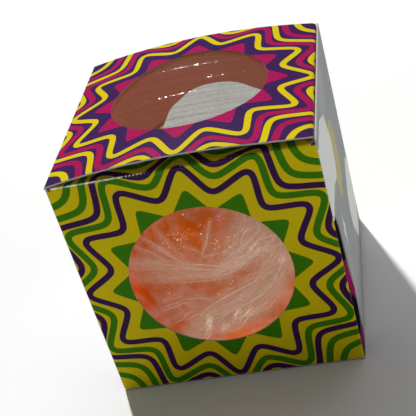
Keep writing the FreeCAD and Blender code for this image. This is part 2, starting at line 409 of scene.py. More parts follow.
def side_print(name):
    """The side panels: a silvery grey tint with soft plain shapes in white, pale yellow, black and magenta."""
    k = Nodes(name)
    grey = k.mix(k.ramp(k.noise(40, 3, 0.5), 0.35, 0.7), (0.42, 0.435, 0.435), (0.50, 0.51, 0.51))
    streak = k.noise(60, 4, 0.55, vec=k.scaled(1.0, 0.22, 0.7, (0.5, 0, 0)))
    grey = k.mix(k.ramp(streak, 0.45, 0.75, 0.0, 0.35), grey, (0.55, 0.54, 0.55))
    col = k.mix(k.below(k.attr("pat_d"), 3.0), grey, (0.075, 0.07, 0.07))
    col = k.mix(k.below(k.attr("pat_y"), 0.6), col, (0.62, 0.56, 0.30))
    col = k.mix(k.below(k.attr("pat_k"), 0.6), col, (0.010, 0.008, 0.012))
    col = k.mix(k.below(k.attr("pat_m"), 0.3), col, (0.33, 0.012, 0.12))
    col = k.mix(k.below(k.attr("pat_w"), 0.12), col, (0.86, 0.88, 0.84))
    hsv = k.n("HueSaturation")
    k.put(hsv.inputs["Color"], col)
    k.put(hsv.inputs["Value"], k.ramp(k.noise(1500, 4, 0.6), 0.25, 0.8, 0.96, 1.03))
    chips = k.math("ADD", k.attr("wear"), k.math("MULTIPLY", k.math("SUBTRACT", k.noise(1900, 4, 0.7), 0.5), 1.5))
    chip = k.ramp(chips, 0.93, 1.05)
    col = k.mix(chip, hsv.outputs["Color"], raw_board_colour(k))
    fibre = k.noise(1100, 5, 0.65)
    nrm = k.bump(k.math("ADD", k.math("MULTIPLY", fibre, 0.35), k.noise(260, 2, 0.5)), 0.10, 0.00012)
    p = k.principled(Base_Color=col, Roughness=k.ramp(fibre, 0.3, 0.7, 0.36, 0.48), Normal=nrm)
    p.inputs["Specular IOR Level"].default_value = 0.0
    return k.finish(p.outputs["BSDF"])


def clear_film(name, haze=0.004, rough=0.05, edge=0.42):
    """Thin clear film: see-through, glossy where it catches light and finely scratched; along its folds it lets less
    light through, a painted shade, and reflects a little more.
    """
    k = Nodes(name)
    tr = k.n("BsdfTransparent")
    fold = k.attr("fold")
    scr = k.noise(900, 4, 0.6, vec=k.scaled(0.10, 1.0, 1.0))
    # painted shade along the folds: less light comes through there
    k.put(tr.inputs["Color"], k.mix(fold, (0.965, 0.96, 0.95), (0.84, 0.83, 0.82)))
    p = k.principled(Base_Color=(0.08, 0.08, 0.075), Roughness=k.ramp(scr, 0.35, 0.75, rough, rough + 0.07),
                     Normal=k.bump(k.noise(520, 4, 0.6, vec=k.scaled(0.55, 1.0, 1.0)), 0.30, 0.00022))
    p.inputs["Specular IOR Level"].default_value = 1.0
    lw = k.n("LayerWeight")
    lw.inputs["Blend"].default_value = 0.20
    f = k.ramp(lw.outputs["Fresnel"], 0.0, 1.0, haze, edge, smooth=False)
    f = k.math("ADD", f, k.math("MULTIPLY", fold, 0.08), clamp=True)
    f = k.math("ADD", f, k.ramp(scr, 0.66, 0.82, 0.0, 0.06), clamp=True)
    mx = k.n("MixShader")
    k.put(mx.inputs[0], f)
    k.t.links.new(tr.outputs[0], mx.inputs[1])
    k.t.links.new(p.outputs[0], mx.inputs[2])
    return k.finish(mx.outputs[0])


def elastomer(name):
    """The ball's clear skin: glossy, faintly orange, with mould dimples and fine dust."""
    k = Nodes(name)
    tr = k.n("BsdfTransparent")
    dust = k.noise(1300, 3, 0.6)
    tr.inputs["Color"].default_value = (1.0, 0.95, 0.91, 1)
    p = k.principled(Base_Color=(0.80, 0.36, 0.20), Roughness=k.ramp(dust, 0.35, 0.75, 0.10, 0.26),
                     Normal=k.bump(k.math("ADD", k.noise(140, 3, 0.5), k.math("MULTIPLY", dust, 0.15)), 0.16, 0.0006))
    p.inputs["Specular IOR Level"].default_value = 0.5
    lw = k.n("LayerWeight")
    lw.inputs["Blend"].default_value = 0.12
    f = k.ramp(lw.outputs["Fresnel"], 0.0, 1.0, 0.004, 0.22, smooth=False)
    f = k.math("ADD", f, k.ramp(dust, 0.70, 0.84, 0.0, 0.10), clamp=True)
    mx = k.n("MixShader")
    k.put(mx.inputs[0], f)
    k.t.links.new(tr.outputs[0], mx.inputs[1])
    k.t.links.new(p.outputs[0], mx.inputs[2])
    return k.finish(mx.outputs[0])


def gel(name):
    """Orange gel: cloudy colour from the mesh, fine threads of white drawn through it, and a painted glow, emission
    from the mesh, that stands in for light soaking through the gel.
    """
    k = Nodes(name)
    col = k.attr_color("gel")
    cloud = k.noise(150, 5, 0.62, distortion=0.8)
    hsv = k.n("HueSaturation")
    k.put(hsv.inputs["Color"], col)
    k.put(hsv.inputs["Value"], k.ramp(cloud, 0.30, 0.72, 0.90, 1.12))
    k.put(hsv.inputs["Saturation"], k.ramp(k.noise(260, 4, 0.6, distortion=0.5), 0.35, 0.7, 1.08, 0.84))
    col = hsv.outputs["Color"]
    thread = k.noise(430, 7, 0.72, vec=k.scaled(0.38, 1.0, 1.0, (0, 0.5, 0.3)), distortion=2.6)
    veil = k.attr("veil")
    v2 = k.math("MULTIPLY", veil, k.ramp(thread, 0.30, 0.68, 0.62, 1.12), clamp=True)
    faint = k.ramp(thread, 0.62, 0.78, 0.0, 0.22)
    v2 = k.math("MAXIMUM", v2, faint, clamp=True)
    col = k.mix(v2, col, (0.62, 0.375, 0.275))
    p = k.principled(Base_Color=col, Roughness=k.ramp(cloud, 0.3, 0.7, 0.40, 0.60),
                     Normal=k.bump(thread, 0.25, 0.0005))
    p.inputs["Specular IOR Level"].default_value = 0.10
    # painted light: emission colour and strength from the mesh's glow
    k.put(p.inputs["Emission Color"], col)
    k.put(p.inputs["Emission Strength"], k.attr("glow"))
    return k.finish(p.outputs["BSDF"])


def fibre(name):
    """White fibre: half see-through strands, brighter along the middle, thinning out at their ends, with a painted
    glow, emission from the mesh, so they look evenly lit.
    """
    k = Nodes(name)
    tr = k.n("BsdfTransparent")
    n1 = k.noise(800, 3, 0.6)
    col = k.mix(k.ramp(n1, 0.3, 0.7), (0.76, 0.50, 0.385), (0.90, 0.67, 0.55))
    p = k.principled(Base_Color=k.mix(0.45, col, (0.45, 0.28, 0.21)), Roughness=k.ramp(n1, 0.3, 0.7, 0.45, 0.65))
    p.inputs["Specular IOR Level"].default_value = 0.12
    # painted glow: emission from the mesh's glow
    k.put(p.inputs["Emission Color"], col)
    k.put(p.inputs["Emission Strength"], k.math("MULTIPLY", k.attr("glow"), 0.93))
    mx = k.n("MixShader")
    k.put(mx.inputs[0], k.math("MULTIPLY", k.attr("alpha"), k.ramp(n1, 0.3, 0.7, 0.75, 1.1), clamp=True))
    k.t.links.new(tr.outputs[0], mx.inputs[1])
    k.t.links.new(p.outputs[0], mx.inputs[2])
    return k.finish(mx.outputs[0])


def glitter(name):
    """Iridescent metallised flakes: gold, rose, violet or green, from the mesh, with a brushed face and painted glints,
    an emission glow from the mesh.
    """
    k = Nodes(name)
    col = k.attr_color("tint")
    br = k.noise(2600, 3, 0.6)
    col = k.mix(k.ramp(br, 0.4, 0.7, 0.0, 0.4), col, (1.0, 0.95, 0.85))
    p = k.principled(Base_Color=col, Metallic=0.5, Roughness=k.ramp(br, 0.3, 0.7, 0.28, 0.44))
    # painted glint: emission from the mesh's glow
    k.put(p.inputs["Emission Color"], col)
    k.put(p.inputs["Emission Strength"], k.attr("glow"))
    return k.finish(p.outputs["BSDF"])


def floor_material(name):
    k = Nodes(name)
    n1 = k.noise(14, 3, 0.5)
    p = k.principled(Base_Color=k.mix(n1, (0.93, 0.93, 0.93), (0.95, 0.95, 0.95)), Roughness=k.ramp(n1, 0.3, 0.7, 0.75, 0.85))
    p.inputs["Specular IOR Level"].default_value = 0.1
    return k.finish(p.outputs["BSDF"])


DEEP = (0.046, 0.012, 0.072)
M_FRONT = printed("print_yellow", YELLOW, DEEP, GREEN)
M_CREASE = printed("print_yellow_crease", YELLOW, DEEP, GREEN)
for _node in list(M_CREASE.node_tree.nodes):
    if _node.type == "BSDF_PRINCIPLED":              # painted highlight: emission from the mesh attribute shine stands in for the gloss along the crease catching the light
        _at = M_CREASE.node_tree.nodes.new("ShaderNodeAttribute")
        _at.attribute_name = "shine"
        M_CREASE.node_tree.links.new(_at.outputs["Fac"], _node.inputs["Emission Strength"])
        _node.inputs["Emission Color"].default_value = (1.0, 0.97, 0.90, 1)
M_FLAP = printed("print_yellow_flap", YELLOW, DEEP, GREEN, ink_attr=True)
M_LID = printed("print_purple", PURPLE, YELLOW, MAGENTA)
M_TUCK = printed("print_purple_flap", PURPLE, YELLOW, MAGENTA, ink_attr=True)
M_RAW = raw_board("bare_board")
M_EDGE = raw_board("board_cut_edge", (0.47, 0.465, 0.45))
# bare board with painted orange light and an emission glow from the gel
M_PAINTED_GLOW = painted_glow_board("bare_board_painted_glow")
M_PAINTED_GLOW_FLAP = painted_glow_board("back_flap_painted_glow", True)
M_PAINTED_GLOW_WALL = painted_glow_board("inner_wall_painted_glow", rim=True)
M_SIDE = side_print("print_grey")
M_FILM = clear_film("window_film")
M_FILM_TOP = clear_film("window_film_lid", 0.0, 0.06, 0.26)
M_SKIN = elastomer("ball_skin_clear")
M_GEL = gel("orange_gel")
M_FIBRE = fibre("white_fibre")
M_FLAKE = glitter("glitter")


# ------------------------------------------------------------------ upright panels
HS = H - FOLD + FOLD * math.pi / 4      # half width of a panel, measured along the board to the middle of each crease


def around(s):
    """A panel's outline in plan: distance along the board to (along, in), with the creases rounded."""
    s = np.asarray(s, float)
    flat = H - FOLD
    over = np.maximum(np.abs(s) - flat, 0)
    ang = over / FOLD
    x = np.where(np.abs(s) <= flat, s, np.sign(s) * (flat + FOLD * np.sin(ang)))
    d = FOLD * (1 - np.cos(ang))
    return x, d


def rectangle_rays(hx, lo, hi, per_side, steps, inner):
    """Structured points from a circle of radius inner out to the rectangle |x| <= hx, lo <= y <= hi."""
    def side(a, b, n):
        t = np.linspace(0, 1, n, endpoint=False)[:, None]
        return np.array(a) + (np.array(b) - np.array(a)) * t
    out = np.concatenate([side((hx, lo), (hx, hi), per_side), side((hx, hi), (-hx, hi), per_side),
                          side((-hx, hi), (-hx, lo), per_side), side((-hx, lo), (hx, lo), per_side)])
    inn = out / np.linalg.norm(out, axis=1, keepdims=True) * inner
    t = np.linspace(0, 1, steps)
    return inn[:, None, :] * (1 - t[None, :, None]) + out[:, None, :] * t[None, :, None]


def plain_grid(hx, lo, hi, nx, ny):
    x = np.linspace(-hx, hx, nx)
    # extra columns in the rounded creases
    flat = H - FOLD
    x = np.unique(np.concatenate([x, np.linspace(flat, HS, 7), -np.linspace(flat, HS, 7)]))
    y = np.linspace(lo, hi, ny)
    X, Y = np.meshgrid(x, y, indexing="ij")
    return np.stack([X, Y], -1)


def crease_wear(s, z, z_hi, z_lo=0.0):
    """Near one at the creases and rims, falling away over a millimetre."""
    e = np.minimum(np.abs(HS - np.abs(s)), np.abs(z_hi - z))
    e = np.minimum(e, np.abs(z - z_lo) * 1.2)
    return 0.72 * np.exp(-(e / 0.55) ** 1.2)


def soft(x, w):
    return 0.5 * (1 + np.tanh(x / w))


def upright(name, side, uv, attrs, node, window=False, z_mid=H):
    """side: 0 front, 1 right, 2 back, 3 left."""
    s, z = uv[..., 0], uv[..., 1] + z_mid
    x, d = around(s)
    # the lowest half millimetre turns in under the carton; and each panel is a touch slack between its creases
    d = d + 0.35 * np.clip((0.5 - z) / 0.5, 0, 1) ** 2
    slack = 0.16 * np.cos(np.clip(s / HS, -1, 1) * math.pi / 2) * np.sin(np.clip(z / (2 * H), 0, 1) * math.pi)
    d = d - slack * (1 if side in (0, 2) else -0.6)
    P = np.stack([x, -H + d, z], -1)
    ang = {0: 0, 1: 90, 2: 180, 3: 270}[side]
    c, sn = math.cos(math.radians(ang)), math.sin(math.radians(ang))
    P = np.stack([P[..., 0] * c - P[..., 1] * sn, P[..., 0] * sn + P[..., 1] * c, P[..., 2]], -1)
    out = (sn, -c, 0)
    # the back and left panels' inner faces get painted orange light and glow from the gel
    mats = [M_FRONT if side in (0, 2) else M_SIDE, M_PAINTED_GLOW_WALL if side in (2, 3) else M_EDGE]
    return sheet_board(name, P, out, T, mats, attrs, closed=window, replaces=(node,))


FRONT_TOP = 68.62
uv = rectangle_rays(HS, 0.02 - H, FRONT_TOP - H, 150, 66, WIN)
a, b = pattern(uv[..., 0] / 70, uv[..., 1] / 70)
w = crease_wear(uv[..., 0], uv[..., 1] + H, 999)
front = upright("front_panel_board", 0, uv, {"pat_a": a, "pat_b": b, "wear": w}, "front_panel", window=True)

uv = plain_grid(HS, 0.02 - H, FRONT_TOP - H, 141, 137)
a, b = pattern(uv[..., 0] / 70, uv[..., 1] / 70)
back = upright("back_panel_board", 2, uv, {"pat_a": a, "pat_b": b, "wear": crease_wear(uv[..., 0], uv[..., 1] + H, 999)}, "back_panel")


def polygon_distance(px, py, pts, rounding=0.0):
    """Signed distance to a closed polygon, below zero inside."""
    pts = np.array(pts, float)
    d = np.full(px.shape, 1e9)
    sgn = np.ones(px.shape)
    for i in range(len(pts)):
        a_, b_ = pts[i], pts[i - 1]
        ex, ey = b_ - a_
        wx, wy = px - a_[0], py - a_[1]
        t = np.clip((wx * ex + wy * ey) / (ex * ex + ey * ey), 0, 1)
        d = np.minimum(d, (wx - ex * t) ** 2 + (wy - ey * t) ** 2)
        c1, c2, c3 = py >= a_[1], py < b_[1], ex * wy > ey * wx
        sgn = np.where((c1 & c2 & c3) | (~c1 & ~c2 & ~c3), -sgn, sgn)
    return sgn * np.sqrt(d) - rounding


def side_shapes(f, z):
    """Plain soft shapes for the side panels. f is the distance behind the front crease and z the height, in millimetres."""
    white = polygon_distance(f, z, [(-3, 62), (14, 62), (24, 58), (29, 50), (28, 47), (20, 50), (10, 51), (-3, 51)], 5.0)
    white = np.minimum(white, polygon_distance(f, z, [(52, 17), (61, 20), (63, 13), (58, 10)], 7.5))
    sp = np.abs(f - 19.6) ** 0.5 * 1.0 + np.abs(z - 30) ** 0.5 * 0.75     # a small four-pointed spark
    white = np.minimum(white, (sp - 2.1) * 0.8)
    yellow = polygon_distance(f, z, [(35, 48), (39, 46), (39, 40), (35, 39)], 7.0)
    black = polygon_distance(f, z, [(-3, 49), (1.0, 49), (4.6, 40), (5.2, 31), (2.4, 25), (-3, 22)], 0.6)
    mag = polygon_distance(f, z, [(-1, 33), (3, 31), (10.5, 16), (8, 15), (1.0, 24)], 0.6)
    black = np.minimum(black, polygon_distance(f, z, [(-3, 21), (3, 20.5), (9, 15), (7, 9.5), (-3, 9)], 0.8))
    mag = np.minimum(mag, polygon_distance(f, z, [(-1, 7.2), (4, 6.8), (8, 4.2), (3, 3.2), (-1, 4)], 0.6))
    dark = polygon_distance(f, z, [(-3, 44), (5, 40), (8, 22), (8, 10), (6, -3), (-3, -3)], 1.0)
    return {"pat_w": white, "pat_y": yellow, "pat_k": black, "pat_m": mag, "pat_d": dark}


uv = plain_grid(HS, 0.02 - H, TOP - H, 111, 140)
sh = side_shapes(uv[..., 0] + HS, uv[..., 1] + H)
sh["wear"] = crease_wear(uv[..., 0], uv[..., 1] + H, TOP)
right = upright("right_panel_board", 1, uv, sh, "right_panel")

LEFT_TOP = 69.30
uv = plain_grid(HS, 0.02 - H, LEFT_TOP - H, 111, 140)
sh = side_shapes(HS - uv[..., 0], uv[..., 1] + H)
sh["wear"] = crease_wear(uv[..., 0], uv[..., 1] + H, 999)
left = upright("left_panel_board", 3, uv, sh, "left_panel")


# ------------------------------------------------------------------ the lid
CHORD = TUCK_X + AX
LR = (CHORD * CHORD / 4 + RISE ** 2) / (2 * RISE)
LMX = (TUCK_X - AX) / 2
LAZ = LID_Z + RISE - LR
LID_Y = H - 0.1


def lid_height(x, y):
    """Height of the lid's outer face: bowed across its creases, and crowned a little more in the middle."""
    x, y = np.asarray(x, float), np.asarray(y, float)
    base = LAZ + np.sqrt(np.maximum(LR ** 2 - (x - LMX) ** 2, 0)) + R2
    fx = np.clip((x - LMX) / (CHORD / 2), -1, 1)
    fy = np.clip(y / LID_Y, -1, 1)
    crown = 1.15 * np.cos(fx * math.pi / 2) ** 1.3 * (1 - fy ** 2)
    dip = -0.25 * np.exp(-((x - 24) / 9) ** 2 - ((y + 33) / 8) ** 2)
    proud = 1.1 * np.clip((x - 2) / 32, 0, 1) ** 2 * np.clip((6 - y) / 40, 0, 1)
    return base + crown + dip + proud


XL, XR = -AX + 0.62, TUCK_X - 1.25
rays = rectangle_rays((XR - XL) / 2, -LID_Y, LID_Y, 150, 64, WIN)
# the window is centred on the carton, so the rays are stretched to the sheet's own edges
cxl = (XR + XL) / 2
tt = np.linspace(0, 1, 64)[None, :]
lx = rays[..., 0] + cxl * tt
ly = rays[..., 1]
P = np.stack([lx, ly, lid_height(lx, ly)], -1)
a, b = lid_pattern(lx / 70, ly / 70)
edge = np.minimum(np.abs(LID_Y - np.abs(ly)), 99)
wear = 0.62 * np.exp(-(edge / 0.35) ** 1.2)
lid = sheet_board("lid_panel_board", P, (0, 0, 1), T, [M_LID, M_EDGE], {"pat_a": a, "pat_b": b, "wear": wear},
                  closed=True, body="lid", replaces=("lid_panel",), bevel=0)


def bezier(p0, t0, p1, t1, n, k=0.55):
    """Rows of points from p0 to p1, leaving along t0 and arriving along t1. p0 and p1 are (m, 3)."""
    L = np.linalg.norm(p1 - p0, axis=-1, keepdims=True)
    c0, c1 = p0 + t0 * L * k, p1 - t1 * L * k
    s = np.linspace(0, 1, n)[None, :, None]
    return ((1 - s) ** 3 * p0[:, None] + 3 * (1 - s) ** 2 * s * c0[:, None] + 3 * (1 - s) * s ** 2 * c1[:, None] + s ** 3 * p1[:, None])


def unit(v):
    v = np.asarray(v, float)
    return v / np.linalg.norm(v, axis=-1, keepdims=True)


def crease_strip(name, p0, t0, p1, t1, outward, mats, pat, n=13, wear=0.86):
    P = bezier(p0, t0, p1, t1, n)
    length = np.concatenate([[0], np.cumsum(np.linalg.norm(np.diff(P[len(P) // 2], axis=0), axis=1))])
    at = pat(P, length)
    mid = length / length[-1]
    at["wear"] = np.broadcast_to(wear * np.exp(-((mid - 0.5) / 0.22) ** 2), P.shape[:2]).copy()
    o = sheet_board(name, P, outward, T, mats, at, closed=False, body=None, bevel=0)
    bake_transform(o)
    return o


# the crease on the left, from the left panel up and over on to the lid
ys = np.linspace(-LID_Y + 0.02, LID_Y - 0.02, 281)
n_ = len(ys)
p0 = np.stack([np.full(n_, -H), ys, np.full(n_, LEFT_TOP)], -1)
p1 = np.stack([np.full(n_, XL), ys, lid_height(XL, ys)], -1)
slope = (lid_height(XL + 0.2, ys) - lid_height(XL, ys)) / 0.2
t1 = unit(np.stack([np.ones(n_), np.zeros(n_), slope], -1))
t0 = np.broadcast_to(np.array([0, 0, 1.0]), (n_, 3))


def left_pat(P, length):
    u = np.broadcast_to((XL - (length[-1] - length)[None, :]) / 70, P.shape[:2])
    a, b = lid_pattern(u, P[..., 1] / 70)
    return {"pat_a": a, "pat_b": b}


crease_left = crease_strip("lid_crease_left", p0, t0, p1, t1, (-1, 0, 1), [M_LID, M_EDGE], left_pat)

# the crease on the right, over and down on to the tuck flap
_tk_lo, _tk_hi = mm_box("lid_tuck_flap")
LEAN = math.radians(11.0)
TUCK_LEN = 13.0
TW = float(_tk_hi[1])
tdir = np.array([-math.sin(LEAN), 0, -math.cos(LEAN)])
tout = np.array([math.cos(LEAN), 0, -math.sin(LEAN)])
ys = np.linspace(-LID_Y + 0.02, LID_Y - 0.02, n_)
p0 = np.stack([np.full(n_, XR), ys, lid_height(XR, ys)], -1)
slope = (lid_height(XR, ys) - lid_height(XR - 0.2, ys)) / 0.2
t0 = unit(np.stack([np.ones(n_), np.zeros(n_), slope], -1))
ysr = ys * TW / LID_Y
tuck_start = 1.5
q = np.array([TUCK_X, 0, LID_Z]) + tdir * tuck_start + tout * R2
p1 = np.stack([np.full(n_, q[0]), ysr, np.full(n_, q[2])], -1)
t1 = np.broadcast_to(tdir, (n_, 3))


def right_pat(P, length):
    u = np.broadcast_to((XR + length[None, :]) / 70, P.shape[:2])
    a, b = lid_pattern(u, P[..., 1] / 70)
    return {"pat_a": a, "pat_b": b, "bare": np.ones(P.shape[:2])}


crease_right = crease_strip("lid_crease_right", p0, t0, p1, t1, (1, 0, 0.6), [M_LID, M_EDGE], right_pat,
                            wear=0.30)


# ------------------------------------------------------------------ flaps: a sheet whose depth varies along its crease
def fillet(points, radii, n=7):
    out = []
    pts = [np.array(p, float) for p in points]
    for i, p in enumerate(pts):
        r = radii[i]
        if r <= 0 or i in (0, len(pts) - 1):
            out.append(p)
            continue
        u, v = unit(pts[i - 1] - p), unit(pts[i + 1] - p)
        half = math.acos(np.clip(np.dot(u, v), -1, 1)) / 2
        d = r / math.tan(half)
        c = p + unit(u + v) * r / math.sin(half)
        a0, a1 = p + u * d - c, p + v * d - c
        for t in np.linspace(0, 1, n):
            w = unit(a0 * (1 - t) + a1 * t) * r
            out.append(c + w)
    return np.array(out)


def flap(name, outline, radii, d0, place, outward, mats, pat, body, node, nx=261, nd=70, curl=None):
    """outline runs from one end of the crease to the other as (along, depth); place maps (along, depth) to the outer face."""
    o = fillet(outline, radii)
    xs = np.linspace(o[0, 0] + 0.02, o[-1, 0] - 0.02, nx)
    xs = np.unique(np.concatenate([xs, o[1:-1, 0]]))
    order = np.argsort(o[:, 0], kind="stable")
    dm = np.interp(xs, o[order, 0], o[order, 1])
    dm = np.maximum(dm, d0 + 0.05)
    t = np.linspace(0, 1, nd)
    D = d0 + (dm[:, None] - d0) * t[None, :]
    X = np.broadcast_to(xs[:, None], D.shape)
    P = place(X, D)
    at = pat(X, D)
    at["wear"] = np.zeros(D.shape)
    return sheet_board(name, P, outward, T, mats, at, closed=False, body=body, replaces=(node,), bevel=0.05)


LIFT = math.radians(1.0)
fdir = np.array([0, math.cos(LIFT), math.sin(LIFT)])
fup = np.array([0, -math.sin(LIFT), math.cos(LIFT)])
F0 = np.array([0, -AX, DUST_Z])


def place_front_dust(X, D):
    # it bends up slightly at its crease and flattens again towards its end
    bend = 0.30 * np.sin(np.clip(D / 38, 0, 1) * math.pi) + 1.9 * np.clip(D / 38, 0, 1) ** 1.7 * np.clip((28 - X) / 20, 0, 1) ** 1.5
    return F0 + fdir * D[..., None] + fup * (R2 + bend)[..., None] + np.array([1.0, 0, 0]) * X[..., None]


def dust_pat(X, D):
    # measured on from the front panel's top edge, around the crease
    a, b = pattern(X / 70, (FRONT_TOP - H + 1.05 + D - 0.7) / 70)
    bare = 6.0 + 0.6 * np.sin(X / 9.0) - D
    return {"pat_a": a, "pat_b": b, "bare": bare}


fd_outline = [(-34.0, 0), (-31.0, 3.0), (-7.0, 11.0), (-4.8, 29.0), (1.0, 38.2), (12.5, 38.2), (31.0, 22.0), (31.02, 3.0), (34.0, 0)]
fd = flap("front_dust_board", fd_outline, [0, 0, 3.0, 9.0, 7.0, 8.0, 0, 0, 0], 0.70, place_front_dust, (0, 0, 1), [M_FLAP, M_EDGE], dust_pat,
          "front_dust", "front_dust_flap", nx=281, nd=90)

# its crease, from the front panel's face over on to the flap
xs = np.linspace(-33.4, 33.4, 269)
n_ = len(xs)
p0 = np.stack([xs, np.full(n_, -H), np.full(n_, FRONT_TOP)], -1)
q = F0 + fdir * 0.70 + fup * R2
p1 = np.stack([xs, np.full(n_, q[1]), np.full(n_, q[2])], -1)


def front_crease_pat(P, length):
    v = np.broadcast_to((FRONT_TOP - H + length[None, :]) / 70, P.shape[:2])
    a, b = pattern(P[..., 0] / 70, v)
    return {"pat_a": a, "pat_b": b, "bare": np.ones(P.shape[:2])}


# painted highlight: shine sets the emission of a bright dashed line along the front crease
def shiny_crease_pat(P, length):
    at = front_crease_pat(P, length)
    px, mid = P[..., 0], (length / length[-1])[None, :]
    run = 0.62 + 0.22 * np.sin(1.3 * px) + 0.16 * np.sin(3.7 * px + 1)
    dash = np.clip(np.sin(6.5 * px) + 0.25, 0, 1)
    line = np.where(px < -14, run, dash * 0.6) * np.clip((-8.0 - px) / 1.5, 0, 1)
    at["shine"] = 0.62 * line * np.exp(-((mid - 0.40) / 0.14) ** 2)
    return at


# the front crease, with its painted highlight
crease_front = crease_strip("front_crease", p0, np.broadcast_to(np.array([0, 0, 1.0]), (n_, 3)), p1, np.broadcast_to(fdir, (n_, 3)),
                            (0, -1, 1), [M_CREASE, M_EDGE], shiny_crease_pat)

B0 = np.array([0, AX, DUST_Z])


def place_back_dust(X, D):
    return B0 + np.array([0, -1.0, 0]) * D[..., None] + np.array([0, 0, 1.0]) * R2 + np.array([1.0, 0, 0]) * X[..., None]


bd_outline = [(-34.0, 0), (-31.0, 3.0), (-25.0, 11.8), (31.0, 11.8), (31.02, 3.0), (34.0, 0)]
# the back dust flap carries painted orange light and glow from the gel on both faces
bd = flap("back_dust_board", bd_outline, [0, 0, 3.0, 3.0, 0, 0], 0.70, place_back_dust, (0, 0, 1), [M_PAINTED_GLOW_FLAP, M_PAINTED_GLOW], dust_pat,
          "back_dust", "back_dust_flap", nx=150, nd=30)
p0 = np.stack([xs, np.full(n_, H), np.full(n_, FRONT_TOP)], -1)
q = B0 + np.array([0, -0.70, R2])
p1 = np.stack([xs, np.full(n_, q[1]), np.full(n_, q[2])], -1)
crease_back = crease_strip("back_crease", p0, np.broadcast_to(np.array([0, 0, 1.0]), (n_, 3)), p1, np.broadcast_to(np.array([0, -1.0, 0]), (n_, 3)),
                           (0, 1, 1), [M_FRONT, M_EDGE], front_crease_pat)


def place_tuck(X, D):
    base = np.array([TUCK_X, 0, LID_Z])
    bend = 0.25 * np.sin(np.clip(D / TUCK_LEN, 0, 1) * math.pi)
    return base + tdir * D[..., None] + tout * (R2 + 0 * bend)[..., None] + np.array([0, 1.0, 0]) * X[..., None]


def tuck_pat(X, D):
    a, b = lid_pattern((XR + 1.2 + D) / 70, X / 70)
    return {"pat_a": a, "pat_b": b, "bare": 5.5 - D}


tuck = flap("tuck_board", [(-TW, 0), (-TW + 0.02, 4.0), (-TW + 3.0, TUCK_LEN), (TW - 3.0, TUCK_LEN), (TW - 0.02, 4.0), (TW, 0)],
            [0, 0, 6.0, 6.0, 0, 0], tuck_start, place_tuck, tuple(tout), [M_TUCK, M_EDGE], tuck_pat, "tuck", "lid_tuck_flap", nx=200, nd=40)


# ------------------------------------------------------------------ films
def film(name, P, outward, body, node, mat, fold):
    return sheet_board(name, P, outward, 0.12, [mat, mat], {"fold": fold}, closed=False, body=body, replaces=(node,), bevel=0, sharp=80)


FH = float(mm_box("front_window_film")[1][0])
g = np.linspace(-FH, FH, 160)
X, Z = np.meshgrid(g, g, indexing="ij")
edge = np.clip((FH - np.maximum(np.abs(X), np.abs(Z))) / 5.0, 0, 1)
rip = 0.10 * np.sin(X / 6.1 + 0.8 * np.sin(Z / 9)) * np.sin(Z / 7.7 + 1.0)
P = np.stack([X, -IN + 0.02 - (0.22 + rip) * edge * np.clip(1.25 - np.hypot(X, Z) / WIN, 0, 1), Z + H], -1)
front_film = film("front_film_sheet", P, (0, -1, 0), "carton", "front_window_film", M_FILM, np.zeros(P.shape[:2]))

LIDF = FH
X, Y = np.meshgrid(np.linspace(-LIDF + 0.03, LIDF - 0.03, 130), np.linspace(-LIDF, LIDF, 640), indexing="ij")
edge = np.clip((LIDF - np.maximum(np.abs(X), np.abs(Y))) / 4.0, 0, 1)
wr = np.zeros_like(X)
# fold carries the painted shade along the wrinkles into the film's material
fold = np.zeros_like(X)
rr = np.random.default_rng(11)
# long wrinkles that run parallel to the lid's front edge, each a narrow ridge that fades at its ends
for y0, x0, ln, h, w_ in ((15.2, -4, 16, 0.30, 0.9), (16.4, 10, 10, 0.26, 0.7), (9.6, -4, 24, 0.12, 1.0), (6.0, 14, 11, 0.50, 0.8), (-1.2, -12, 20, 0.27, 0.8),
                          (-9.0, 8, 30, 0.09, 1.1), (-12.6, 6, 26, 0.07, 0.9), (-16.5, 4, 26, 0.06, 1.0), (3.2, 5, 26, 0.12, 1.2), (11.4, 0, 30, 0.12, 1.3),
                          (-5.2, -5, 26, 0.10, 1.1), (19.2, 2, 16, 0.14, 0.9), (-19.6, 6, 16, 0.06, 1.0)):
    yy = y0 + 0.9 * np.sin(X / 15.0 + y0) + 0.035 * (X - x0)
    h, w_ = h * 0.42, w_ * 0.42
    wr += h * np.exp(-((Y - yy) / w_) ** 2) * np.exp(-((X - x0) / ln) ** 4)
    fold = np.maximum(fold, 0.75 * np.exp(-((Y - yy) / 0.16) ** 2) * np.exp(-((X - x0) / ln) ** 4))
    if h > 0.06:
        wr += (0.12 if x0 == 14 else 0.055) * np.sin(2.6 * X + 2.2 * np.sin(0.8 * X + y0)) * np.exp(-((Y - yy) / (2.2 * w_)) ** 2) * np.exp(-((X - x0) / ln) ** 4)
for _ in range(60):
    y0, x0 = rr.uniform(-21, 21), rr.uniform(-20, 20)
    ln, h, w_ = rr.uniform(3, 9), rr.uniform(0.01, 0.03), rr.uniform(0.35, 0.8)
    yy = y0 + 0.05 * (X - x0) + 0.5 * np.sin(X / 8 + y0)
    wr += h * np.exp(-((Y - yy) / w_) ** 2) * np.exp(-((X - x0) / ln) ** 2)
    fold = np.maximum(fold, 0.45 * np.exp(-((Y - yy) / 0.16) ** 2) * np.exp(-((X - x0) / ln) ** 2))
zz = lid_height(X, Y) - T - 0.03 - (0.45 - wr * 0.95) * edge
P = np.stack([X, Y, zz], -1)
lid_film = film("lid_film_sheet", P, (0, 0, 1), "lid", "lid_window_film", M_FILM_TOP, fold)


